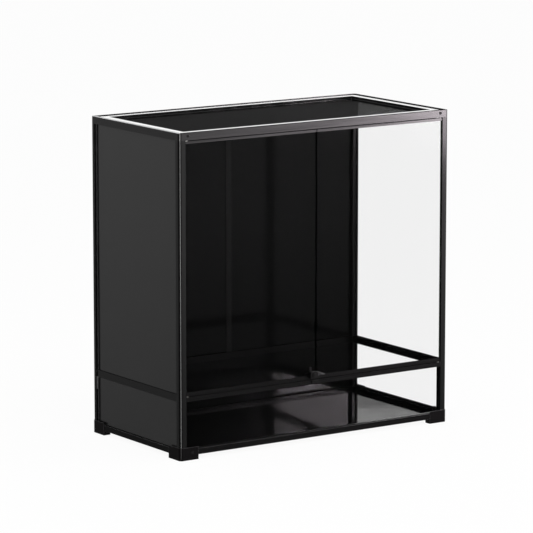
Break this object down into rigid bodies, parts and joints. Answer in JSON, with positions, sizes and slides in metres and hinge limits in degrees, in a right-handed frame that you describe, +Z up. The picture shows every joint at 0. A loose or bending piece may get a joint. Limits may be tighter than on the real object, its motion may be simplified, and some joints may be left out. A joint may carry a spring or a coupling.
{
  "type": "reptile terrarium",
  "caption": "Front-opening reptile terrarium: black knock-down frame with a deep base, hinged glass doors with a turn lock, lift-out screen lid and a sliding cable gate.",
  "frame": {"origin": "centre of the footprint, on the surface that the four feet stand on", "axes": "+X to the right seen from the doors, +Y to the back, +Z up; the doors face -Y"},
  "size_m": [0.9194, 0.4729, 0.91],
  "materials": {
    "post_plastic": "satin black extruded PVC",
    "rail_plastic": "satin black extruded PVC",
    "foot_plastic": "moulded black ABS, fine satin texture",
    "panel_black": "gloss black PVC sheet",
    "glass_clear": "clear float glass, polished edges",
    "lid_plastic": "satin black moulded ABS",
    "screen_wire": "black coated steel mesh",
    "spline_rubber": "black extruded rubber cord",
    "strip_plastic": "satin black extruded PVC",
    "lock_plastic": "moulded black ABS",
    "pull_plastic": "moulded black ABS, polished edges",
    "gate_plastic": "moulded grey ABS",
    "bright_steel": "zinc plated steel",
    "dark_steel": "black oxide steel",
    "nylon": "natural nylon"
  },
  "bodies": {
    "frame": {"post_front_left": "post_plastic", "post_front_right": "post_plastic", "post_rear_left": "post_plastic", "post_rear_right": "post_plastic", "top_rail_front": "rail_plastic", "top_rail_rear": "rail_plastic", "top_rail_left": "rail_plastic", "top_rail_right": "rail_plastic", "sill_front": "rail_plastic", "mid_rail_rear": "rail_plastic", "mid_rail_left": "rail_plastic", "mid_rail_right": "rail_plastic", "base_rail_front": "rail_plastic", "base_rail_rear": "rail_plastic", "base_rail_left": "rail_plastic", "base_rail_right": "rail_plastic", "foot_front_left": "foot_plastic", "foot_front_right": "foot_plastic", "foot_rear_left": "foot_plastic", "foot_rear_right": "foot_plastic", "corner_key_front_left": "lock_plastic", "corner_key_front_right": "lock_plastic", "corner_key_rear_left": "lock_plastic", "corner_key_rear_right": "lock_plastic", "rim_screws": "dark_steel", "foot_screws": "dark_steel", "rail_dowels": "bright_steel", "panel_left_upper": "panel_black", "panel_left_lower": "panel_black", "glass_right_upper": "glass_clear", "glass_right_lower": "glass_clear", "glass_front_lower": "glass_clear", "panel_rear_upper_left": "panel_black", "panel_rear_upper_right": "panel_black", "panel_rear_lower": "panel_black", "joint_strip_rear": "rail_plastic", "floor_panel": "panel_black", "cable_track": "rail_plastic", "hinge_pins": "bright_steel", "hinge_washers": "nylon", "lock_strike": "pull_plastic"},
    "lid": {"lid_frame": "lid_plastic", "lid_screen": "screen_wire", "lid_spline": "spline_rubber"},
    "door_left": {"door_left_glass": "glass_clear", "door_left_top_strip": "strip_plastic", "door_left_low_strip": "strip_plastic", "lock_case": "lock_plastic", "lock_nut": "dark_steel"},
    "door_right": {"door_right_glass": "glass_clear", "door_right_top_strip": "strip_plastic", "door_right_low_strip": "strip_plastic", "door_right_pull": "pull_plastic"},
    "lock_turn": {"lock_knob": "dark_steel", "lock_cam": "dark_steel", "cam_screw": "dark_steel"},
    "gate": {"cable_gate": "gate_plastic"}
  },
  "joints": [
    {"name": "door_left_hinge", "type": "hinge", "parent": "frame", "child": "door_left", "pos_m": [-0.4315, -0.223, 0.53], "axis": [0, 0, -1], "range_deg": [0, 100]},
    {"name": "door_right_hinge", "type": "hinge", "parent": "frame", "child": "door_right", "pos_m": [0.4315, -0.223, 0.53], "axis": [0, 0, 1], "range_deg": [0, 100]},
    {"name": "lid_lift", "type": "slide", "parent": "frame", "child": "lid", "axis": [0, 0, 1], "range_m": [0, 0.06]},
    {"name": "lock_turn_axis", "type": "hinge", "parent": "door_left", "child": "lock_turn", "pos_m": [-0.0135, -0.23, 0.1925], "axis": [0, 1, 0], "range_deg": [0, 180]},
    {"name": "gate_slide", "type": "slide", "parent": "frame", "child": "gate", "axis": [0, 0, -1], "range_m": [0, 0.04]}
  ]
}
